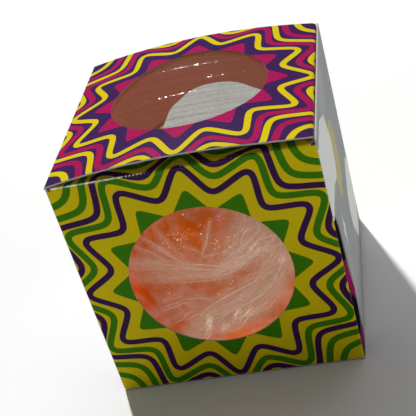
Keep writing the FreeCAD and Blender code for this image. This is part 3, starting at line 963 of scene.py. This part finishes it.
# ------------------------------------------------------------------ the ball
def ball_profile_r(z, inset):
    """Radius of the ball's outline, drawn in by inset, at height z."""
    z = np.asarray(z, float)
    up, dn = BALL_TOP - BALL_WAIST - inset, BALL_WAIST - BALL_BOTTOM - inset
    R = BALL_R - inset
    t = np.clip(np.where(z > BALL_WAIST, (z - BALL_WAIST) / up, (BALL_WAIST - z) / dn), 0, 1)
    e = np.where(z > BALL_WAIST, 2.2, 3.8)
    return R * (1 - t ** e) ** (1 / e)


def ball_point(th, ph, inset):
    """th from 0 at the bottom to pi at the top, and ph about Z."""
    up, dn = BALL_TOP - BALL_WAIST - inset, BALL_WAIST - BALL_BOTTOM - inset
    R = BALL_R - inset
    th = np.asarray(th, float)
    s, c = np.abs(np.sin(th)), np.cos(th)
    e = np.where(c < 0, 2 / 2.2, 2 / 3.8)
    r = R * s ** e
    z = np.where(c < 0, BALL_WAIST + up * np.abs(c) ** e, BALL_WAIST - dn * np.abs(c) ** e)
    return np.stack([r * np.cos(ph), r * np.sin(ph), z], -1)


def revolve(name, inset, nth, nph, mat, attrs_fn=None, th_pow=1.0):
    th = np.linspace(0, math.pi, nth)[1:-1]
    ph = np.linspace(0, 2 * math.pi, nph, endpoint=False)
    TH, PH = np.meshgrid(th, ph, indexing="ij")
    P = ball_point(TH, PH, inset)
    V = np.concatenate([P.reshape(-1, 3), ball_point(np.array([0.0]), np.array([0.0]), inset), ball_point(np.array([math.pi]), np.array([0.0]), inset)])
    n1, n2 = P.shape[:2]
    idx = np.arange(n1 * n2).reshape(n1, n2)
    j2 = np.roll(idx, -1, 1)
    quads = np.stack([idx[:-1], j2[:-1], j2[1:], idx[1:]], -1).reshape(-1, 4).tolist()
    bot, top = n1 * n2, n1 * n2 + 1
    tris = [[bot, int(j2[0, j]), int(idx[0, j])] for j in range(n2)] + [[top, int(idx[-1, j]), int(j2[-1, j])] for j in range(n2)]
    at = attrs_fn(V) if attrs_fn else None
    return new_object(name, V, quads + tris, [mat], None, at, sharp=0)


def through_window(px, py, inset):
    """The point on the ball's layer that is seen at (px, py) of the window's face: thousandths of a side, from its top left."""
    px, py = np.asarray(px, float), np.asarray(py, float)
    W = np.stack([(px / 1000 - 0.5) * 2 * H, np.full(px.shape, -H), (1 - py / 1000) * 2 * H], -1)
    d = unit(W - CAM)
    lo, hi = np.zeros(px.shape), np.full(px.shape, 34.0)
    ok = np.zeros(px.shape, bool)
    best = np.full(px.shape, 34.0)
    for t in np.linspace(0, 34, 69):
        p = W + d * t
        ins = (np.hypot(p[..., 0], p[..., 1]) < ball_profile_r(p[..., 2], inset)) & ~ok
        best = np.where(ins, t, best)
        ok |= ins
    lo, hi = best - 0.5, best
    for _ in range(12):
        m = (lo + hi) / 2
        p = W + d * m[..., None]
        ins = np.hypot(p[..., 0], p[..., 1]) < ball_profile_r(p[..., 2], inset)
        hi = np.where(ins, m, hi)
        lo = np.where(ins, lo, m)
    return W + d * hi[..., None], ok


def onto_window(V):
    """The reverse: where a point of the ball is seen on the window's face, in thousandths."""
    d = V - CAM
    t = (-H - CAM[1]) / d[..., 1]
    W = CAM + d * t[..., None]
    return (W[..., 0] / (2 * H) + 0.5) * 1000, (1 - W[..., 2] / (2 * H)) * 1000


# bundles of fibre, each a path on the window's face with its half width at each point, how many strands, and how dense
BANDS = [
    ([(190, 378), (300, 408), (410, 440), (540, 472), (640, 452)], [34, 34, 30, 26, 22], 110, 0.66, 1.0),
    ([(215, 455), (320, 468), (430, 484), (540, 492), (620, 478)], [22, 24, 24, 18, 16], 80, 0.66, 1.0),
    ([(520, 490), (600, 440), (680, 375), (760, 310), (830, 255)], [24, 46, 74, 100, 120], 230, 0.86, 1.0),
    ([(560, 486), (650, 440), (730, 405), (830, 380)], [22, 36, 56, 66], 150, 0.80, 1.0),
    ([(320, 806), (400, 735), (470, 690), (580, 640), (680, 580), (760, 505), (830, 430)], [30, 52, 64, 76, 72, 58, 48], 300, 0.88, 1.0),
    ([(470, 755), (560, 700), (640, 650), (730, 600)], [30, 56, 58, 44], 120, 0.84, 1.0),
    ([(400, 770), (430, 710), (450, 650)], [16, 26, 18], 60, 0.80, 1.0),
    ([(690, 540), (745, 460), (790, 395), (835, 330)], [26, 46, 56, 56], 110, 0.84, 1.0),
    ([(215, 640), (300, 612), (390, 600), (480, 612)], [22, 30, 30, 22], 70, 0.52, 1.0),
    ([(225, 705), (300, 670), (380, 640), (470, 640)], [14, 26, 28, 20], 60, 0.55, 1.0),
    ([(260, 590), (350, 560), (450, 560)], [8, 12, 8], 18, 0.40, 1.0),
    ([(290, 280), (340, 340), (400, 410), (440, 450)], [6, 9, 9, 8], 22, 0.60, 1.0),
    ([(240, 300), (300, 350), (360, 410)], [8, 12, 12], 18, 0.45, 1.0),
    ([(345, 235), (385, 330), (430, 420)], [4, 7, 8], 16, 0.50, 1.0),
    ([(560, 250), (525, 330), (480, 420)], [3, 5, 5], 9, 0.60, 1.0),
    ([(430, 340), (500, 400), (520, 430)], [4, 6, 5], 10, 0.55, 1.0),
    ([(480, 410), (560, 400), (640, 400)], [8, 12, 10], 26, 0.50, 1.0),
    ([(600, 540), (640, 520), (690, 525), (650, 560)], [6, 8, 8, 6], 16, 0.45, 1.0),
    ([(560, 520), (640, 540), (700, 560)], [6, 8, 6], 16, 0.50, 1.0),
    ([(310, 770), (380, 790), (460, 800)], [12, 20, 14], 36, 0.55, 1.0),
    ([(400, 640), (380, 700), (350, 760)], [12, 18, 14], 30, 0.50, 1.0),
    ([(540, 800), (620, 780), (700, 740)], [8, 12, 10], 22, 0.40, 1.0),
]


def band_sample(path, widths, t, w):
    """Points at t along the band and w across it, from -1 to 1."""
    path, widths = np.array(path, float), np.array(widths, float)
    seg = np.concatenate([[0], np.cumsum(np.linalg.norm(np.diff(path, axis=0), axis=1))])
    seg /= seg[-1]
    # a smooth curve through the points
    tt = np.clip(t, 0, 1)
    x = smooth_interp(tt, seg, path[:, 0])
    y = smooth_interp(tt, seg, path[:, 1])
    e = 0.01
    dx = smooth_interp(np.clip(tt + e, 0, 1), seg, path[:, 0]) - smooth_interp(np.clip(tt - e, 0, 1), seg, path[:, 0])
    dy = smooth_interp(np.clip(tt + e, 0, 1), seg, path[:, 1]) - smooth_interp(np.clip(tt - e, 0, 1), seg, path[:, 1])
    L = np.hypot(dx, dy) + 1e-9
    hw = np.interp(tt, seg, widths)
    return x - dy / L * hw * w, y + dx / L * hw * w


def smooth_interp(t, s, v):
    """Catmull-Rom through (s, v)."""
    m = np.gradient(v, s)
    i = np.clip(np.searchsorted(s, t, side="right") - 1, 0, len(s) - 2)
    h = s[i + 1] - s[i]
    u = (t - s[i]) / h
    return ((2 * u ** 3 - 3 * u ** 2 + 1) * v[i] + (u ** 3 - 2 * u ** 2 + u) * h * m[i]
            + (-2 * u ** 3 + 3 * u ** 2) * v[i + 1] + (u ** 3 - u ** 2) * h * m[i + 1])


CORE_INSET = 0.10


def gel_attrs(V):
    px, py = onto_window(V)
    front = np.clip((-V[:, 1] - 4) / 10, 0, 1)
    c_mid = np.array([0.550, 0.150, 0.058])
    c_left = np.array([0.610, 0.088, 0.010])
    c_top = np.array([0.560, 0.125, 0.035])
    c_low = np.array([0.900, 0.190, 0.022])
    c_pale = np.array([0.520, 0.215, 0.130])
    col = np.broadcast_to(c_mid, (len(V), 3)).copy()

    def lay(c, wgt):
        nonlocal col
        wgt = np.clip(wgt, 0, 1)[:, None]
        col = col * (1 - wgt) + c * wgt
    lay(c_left, front * np.exp(-(np.maximum(px - 190, 0) / 80) ** 1.5))
    lay(c_left, 0.9 * front * np.exp(-((px - 260) / 110) ** 2 - ((py - 720) / 100) ** 2))
    lay(c_top, 0.85 * front * np.exp(-((px - 480) / 160) ** 2 - ((py - 290) / 95) ** 2))
    lay(c_pale, 0.8 * front * np.exp(-((px - 690) / 90) ** 2 - ((py - 330) / 120) ** 2))
    lay(c_left, 0.55 * front * np.exp(-((px - 480) / 160) ** 2 - ((py - 570) / 35) ** 2))
    lay(c_top * 1.1, 0.8 * front * np.exp(-((px - 640) / 60) ** 2 - ((py - 525) / 35) ** 2))
    lay(c_low, front * np.exp(-((px - 600) / 170) ** 2 - ((py - 795) / 56) ** 2))
    lay(c_low, 0.7 * front * np.exp(-((px - 730) / 70) ** 2 - ((py - 640) / 60) ** 2))
    # elsewhere on the ball the colour drifts between the same tones
    ang = np.arctan2(V[:, 1], V[:, 0])
    drift = 0.5 + 0.5 * np.sin(3 * ang + V[:, 2] / 9.0) * np.cos(V[:, 2] / 13.0 + ang)
    rest = c_mid * (1 - drift[:, None]) + (c_left * 0.5 + c_low * 0.5) * drift[:, None]
    wr_ = (1 - front)[:, None] * 0.6
    col = col * (1 - wr_) + rest * wr_
    veil = np.zeros(len(V))
    for path, widths, count, dens, _ in BANDS:
        ts = np.linspace(0, 1, 40)
        bx, by = band_sample(path, widths, ts, np.zeros(40))
        hw = np.interp(ts, np.linspace(0, 1, len(widths)), widths)
        d = np.full(len(V), 9.0)
        for k in range(40):
            d = np.minimum(d, np.hypot(px - bx[k], py - by[k]) / (hw[k] * 1.15 + 4))
        veil = np.maximum(veil, dens * (1.12 if count >= 90 else 0.80) * np.exp(-(d / 1.0) ** 2.6))
    veil *= front
    back_veil = 0.5 * np.clip(np.sin(2.3 * ang + V[:, 2] / 6.0) * np.sin(ang * 1.1 - V[:, 2] / 11.0 + 1.0), 0, 1) ** 1.5
    veil = np.maximum(veil, back_veil * (1 - front))
    # painted light: glow is emission standing in for light coming through the gel, strongest on the front, growing
    # towards the window's lower rim and fading near the top
    rim = np.clip((np.hypot(px - 500, py - 500) - 215) / 110, 0, 1) * np.clip((py - 330) / 150, 0, 1)
    glow = 0.04 + front * (0.40 + 0.22 * rim + 0.10 * np.exp(-((px - 450) / 200) ** 2 - ((py - 290) / 90) ** 2)) * np.clip(1.1 - np.maximum(V[:, 2] - 52, 0) / 12, 0, 1)
    return {"gel": col, "veil": veil, "glow": glow}


core = revolve("ball_gel_core", CORE_INSET, 160, 280, M_GEL, gel_attrs)
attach(core, "ball")
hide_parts("ball_gel")

skin = revolve("ball_skin_shell", -0.30, 120, 200, M_SKIN)
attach(skin, "ball")
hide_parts("ball_skin")


# ---- the fibres: thin ribbons in the gel
def ribbons(name, lines, widths, alphas, glows, mat):
    V, F, A, G = [], [], [], []
    base = 0
    for P, w_, al, gl in zip(lines, widths, alphas, glows):
        n = len(P)
        tan = np.gradient(P, axis=0)
        tan = unit(tan)
        nr = np.stack([P[:, 0], P[:, 1], (P[:, 2] - BALL_WAIST)], -1)
        nr = unit(nr)
        side = unit(np.cross(tan, nr))
        hw = (w_ / 2)[:, None] if np.ndim(w_) else w_ / 2
        V.append(P + side * hw)
        V.append(P - side * hw)
        A += [al, al]
        G += [gl, gl]
        for k in range(n - 1):
            F.append([base + k, base + k + 1, base + n + k + 1, base + n + k])
        base += 2 * n
    o = new_object(name, np.concatenate(V), F, [mat], None, {"alpha": np.concatenate(A), "glow": np.concatenate(G)}, sharp=0)
    return o


r5 = np.random.default_rng(5)
lines, widths, alphas, glows = [], [], [], []
NP = 22
for path, wd, count, dens, _ in BANDS:
    for i in range(count // 3):
        t0_, t1_ = np.sort(r5.uniform(-0.05, 1.05, 2))
        if t1_ - t0_ < 0.35:
            t0_, t1_ = max(0, t0_ - 0.25), min(1, t1_ + 0.25)
        t = np.linspace(max(0, t0_), min(1, t1_), NP)
        w0 = r5.normal(0, 0.5)
        w0 = float(np.clip(w0, -1.25, 1.25))
        ww = w0 + r5.uniform(-0.75, 0.75) * (t - t.mean()) * 2 + 0.16 * np.sin(t * r5.uniform(6, 18) + r5.uniform(0, 6))
        x, y = band_sample(path, wd, t, ww)
        x += r5.normal(0, 1.5)
        y += r5.normal(0, 1.5)
        depth = CORE_INSET - r5.uniform(0.04, 0.30)
        P, ok = through_window(x, y, depth)
        if not ok.all():
            continue
        dense = count >= 90
        wmm = float(r5.choice([0.10, 0.16, 0.28, 0.50, 0.95], p=[0.16, 0.22, 0.26, 0.22, 0.14] if dense else [0.28, 0.28, 0.22, 0.15, 0.07]))
        fade = np.sin(np.linspace(0.12, math.pi - 0.12, NP)) ** 0.8
        lines.append(P)
        widths.append(wmm * (0.55 + 0.45 * fade))
        # a few strands get a strong painted glow, emission, and the rest a weaker one
        bright = r5.uniform() < 0.16
        alphas.append(fade * dens * (0.95 if bright and wmm < 0.4 else r5.uniform(0.20, 0.62)) * (0.45 if wmm > 0.4 else 1.0))
        glows.append(np.full(NP, 0.62 if bright else float(r5.choice([0.26, 0.34, 0.42]))))
# bright knots where bundles cross: dense strands with a strong painted glow
for cx_, cy_, L_, dx_, dy_, cnt in ((440, 715, 70, 0.30, -0.95, 44), (552, 690, 60, 0.6, -0.8, 40), (775, 475, 50, 0.45, -0.89, 44), (500, 745, 40, 0.5, -0.86, 20), (420, 775, 50, 0.7, -0.7, 24),
                                    (600, 700, 60, 0.85, -0.5, 20), (690, 400, 60, 0.75, -0.66, 20)):
    for i in range(cnt // 3):
        ox, oy = r5.normal(0, 9, 2)
        s = np.linspace(-0.5, 0.5, NP) * L_ * r5.uniform(0.6, 1.5)
        ang = math.atan2(dy_, dx_) + r5.normal(0, 0.16)
        x = cx_ + ox + np.cos(ang) * s
        y = cy_ + oy + np.sin(ang) * s + 2.5 * np.sin(s / 18 + i)
        P, ok = through_window(x, y, CORE_INSET - r5.uniform(0.20, 0.32))
        if not ok.all():
            continue
        fade = np.sin(np.linspace(0.1, math.pi - 0.1, NP))
        lines.append(P)
        widths.append(0.22 * (0.5 + 0.5 * fade))
        alphas.append(fade * 0.85)
        glows.append(np.full(NP, 0.66))
# the rest of the ball: bundles along loose great curves
for b_ in range(26):
    th0, ph0 = r5.uniform(0.5, 2.6), r5.uniform(0.1, math.pi - 0.1)      # behind the front window
    dth, dph = r5.uniform(-0.9, 0.9), r5.uniform(-1.1, 1.1)
    wid = r5.uniform(0.05, 0.16)
    for i in range(10):
        s = np.linspace(r5.uniform(0, 0.3), r5.uniform(0.7, 1), NP)
        o1, o2 = r5.normal(0, wid, 2)
        th = np.clip(th0 + dth * s + o1 + 0.05 * np.sin(s * 6 + i), 0.25, math.pi - 0.2)
        ph = ph0 + dph * s + o2 + 0.12 * np.sin(s * 4 + b_)
        P = ball_point(th, ph, CORE_INSET - r5.uniform(0.04, 0.30))
        fade = np.sin(np.linspace(0.12, math.pi - 0.12, NP)) ** 0.8
        lines.append(P)
        widths.append(r5.choice([0.12, 0.2, 0.35]) * (0.55 + 0.45 * fade))
        alphas.append(fade * r5.uniform(0.25, 0.8))
        # a faint painted glow
        glows.append(np.full(NP, 0.10))
fib = ribbons("ball_fibres", lines, widths, alphas, glows, M_FIBRE)
fib.visible_shadow = False
fib.visible_diffuse = False
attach(fib, "ball")
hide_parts("fibre_strands")

# ---- glitter: small thin hexagonal flakes, tipped every way
V, F, C, G = [], [], [], []
tints = {"gold": (0.95, 0.62, 0.12), "pale": (1.0, 0.86, 0.55), "violet": (0.75, 0.32, 0.95), "rose": (0.98, 0.42, 0.62), "green": (0.35, 0.62, 0.42), "copper": (0.85, 0.30, 0.08)}


def add_flake(p, r, tint, tilt, glow):
    n = unit(np.array([p[0], p[1], p[2] - BALL_WAIST]))
    n = unit(n + np.array(tilt))
    u = unit(np.cross(n, np.array([0.3, 0.2, 0.93])))
    v = np.cross(n, u)
    base = len(V)
    spin = (p[0] * 7.3 + p[2] * 3.1) % 1.0
    for h in (0.03, -0.03):
        for k in range(6):
            a_ = math.radians(60 * k) + spin
            V.append(p + (u * math.cos(a_) + v * math.sin(a_)) * r + n * h)
            C.append(tints[tint])
            G.append(glow)
    F.append([base + k for k in range(6)])
    F.append([base + 11 - k for k in range(6)])
    for k in range(6):
        F.append([base + k, base + 6 + k, base + 6 + (k + 1) % 6, base + (k + 1) % 6])


r9 = np.random.default_rng(9)
spots = []
for cx_, cy_, sx_, sy_, n, kinds in ((430, 300, 34, 14, 46, ("gold", "pale", "copper")), (410, 318, 30, 18, 12, ("copper", "gold")), (590, 345, 30, 26, 26, ("gold", "pale")),
                                     (580, 250, 16, 8, 8, ("violet", "rose")), (360, 355, 22, 14, 6, ("rose", "pale")), (335, 330, 14, 12, 4, ("gold",)),
                                     (640, 300, 30, 24, 8, ("gold", "copper")), (335, 528, 9, 6, 3, ("green",)), (540, 300, 30, 30, 8, ("copper", "gold")),
                                     (500, 500, 180, 160, 50, ("gold", "pale", "rose", "copper")), (650, 505, 30, 16, 8, ("copper", "gold"))):
    for i in range(n):
        spots.append((cx_ + r9.normal(0, sx_), cy_ + r9.normal(0, sy_), kinds[int(r9.integers(len(kinds)))]))
for x, y, kind in spots:
    P, ok = through_window(np.array([x]), np.array([y]), CORE_INSET - r9.uniform(0.14, 0.26))
    if not ok[0] or math.hypot(x - 500, y - 500) > 300:
        continue
    # each flake gets a painted glint, an emission glow of 0.10 to 0.5
    add_flake(P[0], r9.uniform(0.10, 0.27), kind, r9.normal(0, 0.25, 3), float(r9.choice([0.10, 0.22, 0.5], p=[0.5, 0.35, 0.15])))
for i in range(170):
    th = math.acos(r9.uniform(-0.95, 0.95))
    ph = r9.uniform(0, 2 * math.pi)
    P = ball_point(np.array([th]), np.array([ph]), CORE_INSET - r9.uniform(0.14, 0.26))[0]
    if P[1] < -16:
        continue
    # with a faint painted glint
    add_flake(P, r9.uniform(0.16, 0.45), list(tints)[int(r9.integers(len(tints)))], r9.normal(0, 0.3, 3), 0.1)
flk = new_object("ball_glitter", np.array(V), F, [M_FLAKE], None, {"tint": np.array(C), "glow": np.array(G)}, smooth=False, sharp=0)
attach(flk, "ball")
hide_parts("glitter_flakes")

# ------------------------------------------------------------------ CAD nodes that stay: better materials
# the seam tab gets the same painted orange light and glow as the board inside
for name, mat in (("side_seam_tab", M_PAINTED_GLOW), ("bottom_outer_flap", None), ("bottom_inner_flap", M_RAW), ("bottom_front_dust_flap", M_RAW),
                  ("bottom_back_dust_flap", M_RAW), ("ball_fill_plug", M_SKIN)):
    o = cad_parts[name]
    if mat is None:
        k = Nodes("print_purple_plain")
        n1 = k.noise(1500, 4, 0.6)
        col = k.mix(k.ramp(n1, 0.25, 0.8, 0.0, 0.35), PURPLE, (0.09, 0.035, 0.17))
        scuff = k.ramp(k.noise(240, 5, 0.7), 0.62, 0.74, 0.0, 0.5)
        col = k.mix(scuff, col, (0.5, 0.5, 0.48))
        p = k.principled(Base_Color=col, Roughness=k.ramp(n1, 0.3, 0.7, 0.3, 0.45), Normal=k.bump(n1, 0.1, 0.0001))
        sep = k.n("SeparateXYZ")
        k.put(sep.inputs[0], k.co)
        k.put(p.inputs["Base Color"], k.mix(k.ramp(sep.outputs["Z"], 0.00008, 0.00016), col, raw_board_colour(k)))
        mat = k.finish(p.outputs["BSDF"])
    o.data.materials.clear()
    o.data.materials.append(mat)

# ------------------------------------------------------------------ floor, light, camera
me = bpy.data.meshes.new("floor")
s = 3.0
me.from_pydata([(-s, -s, 0), (s, -s, 0), (s, s, 0), (-s, s, 0)], [], [(0, 1, 2, 3)])
me.materials.append(floor_material("floor_pale"))
floor = bpy.data.objects.new("floor", me)
floor.location = (0, 0, -0.0002)
bpy.context.scene.collection.objects.link(floor)

world = bpy.data.worlds.new("studio")
world.use_nodes = True
bg = world.node_tree.nodes["Background"]
bg.inputs["Color"].default_value = (1.0, 1.0, 1.0, 1)
bg.inputs["Strength"].default_value = 0.120
bpy.context.scene.world = world


def area(name, loc, target, size, power, color=(1, 1, 1)):
    L = bpy.data.lights.new(name, "AREA")
    L.shape = "DISK"
    L.size = size
    L.energy = power
    L.color = color
    o = bpy.data.objects.new(name, L)
    o.location = loc
    o.rotation_euler = (Vector(target) - Vector(loc)).to_track_quat("-Z", "Y").to_euler()
    bpy.context.scene.collection.objects.link(o)
    return o


# the key comes from behind and a little to the left, high up, so the front and the right side are in shade
az = math.radians(-70.0)
travel = Vector((math.cos(az), math.sin(az), 0))
el = math.radians(50)
D = 5.0
key = area("key", (-travel.x * D * math.cos(el), -travel.y * D * math.cos(el), D * math.sin(el) + 0.035), (0, 0, 0.035), 0.24, 250)

fill = area("fill", (0.25, 1.3, 2.2), (0, 0, 0.0), 2.4, 9)
side = area("side", (2.2, -0.5, 0.9), (0, 0, 0.03), 1.2, 4.4)

cam_data = bpy.data.cameras.new("camera")
cam = bpy.data.objects.new("camera", cam_data)
bpy.context.scene.collection.objects.link(cam)
right_v = Vector((0.96847, 0.073529, -0.238031))
down_v = Vector((-0.155924, -0.566281, -0.809329))
fwd_v = Vector((-0.194302, 0.820926, -0.536961))
rot = Matrix((right_v, -down_v, -fwd_v)).transposed()
cam.matrix_world = Matrix.Translation(Vector(CAM.tolist()) * MM) @ rot.to_4x4()
cam_data.sensor_fit = "HORIZONTAL"
cam_data.sensor_width = 36.0
cam_data.lens = 90.697
cam_data.shift_x = -0.06
cam_data.shift_y = 0.06
cam_data.clip_start = 0.01
cam_data.clip_end = 20
bpy.context.scene.camera = cam
bpy.context.scene.cycles.transparent_max_bounces = 32
bpy.context.scene.view_settings.view_transform = "Standard"
bpy.context.scene.view_settings.look = "None"
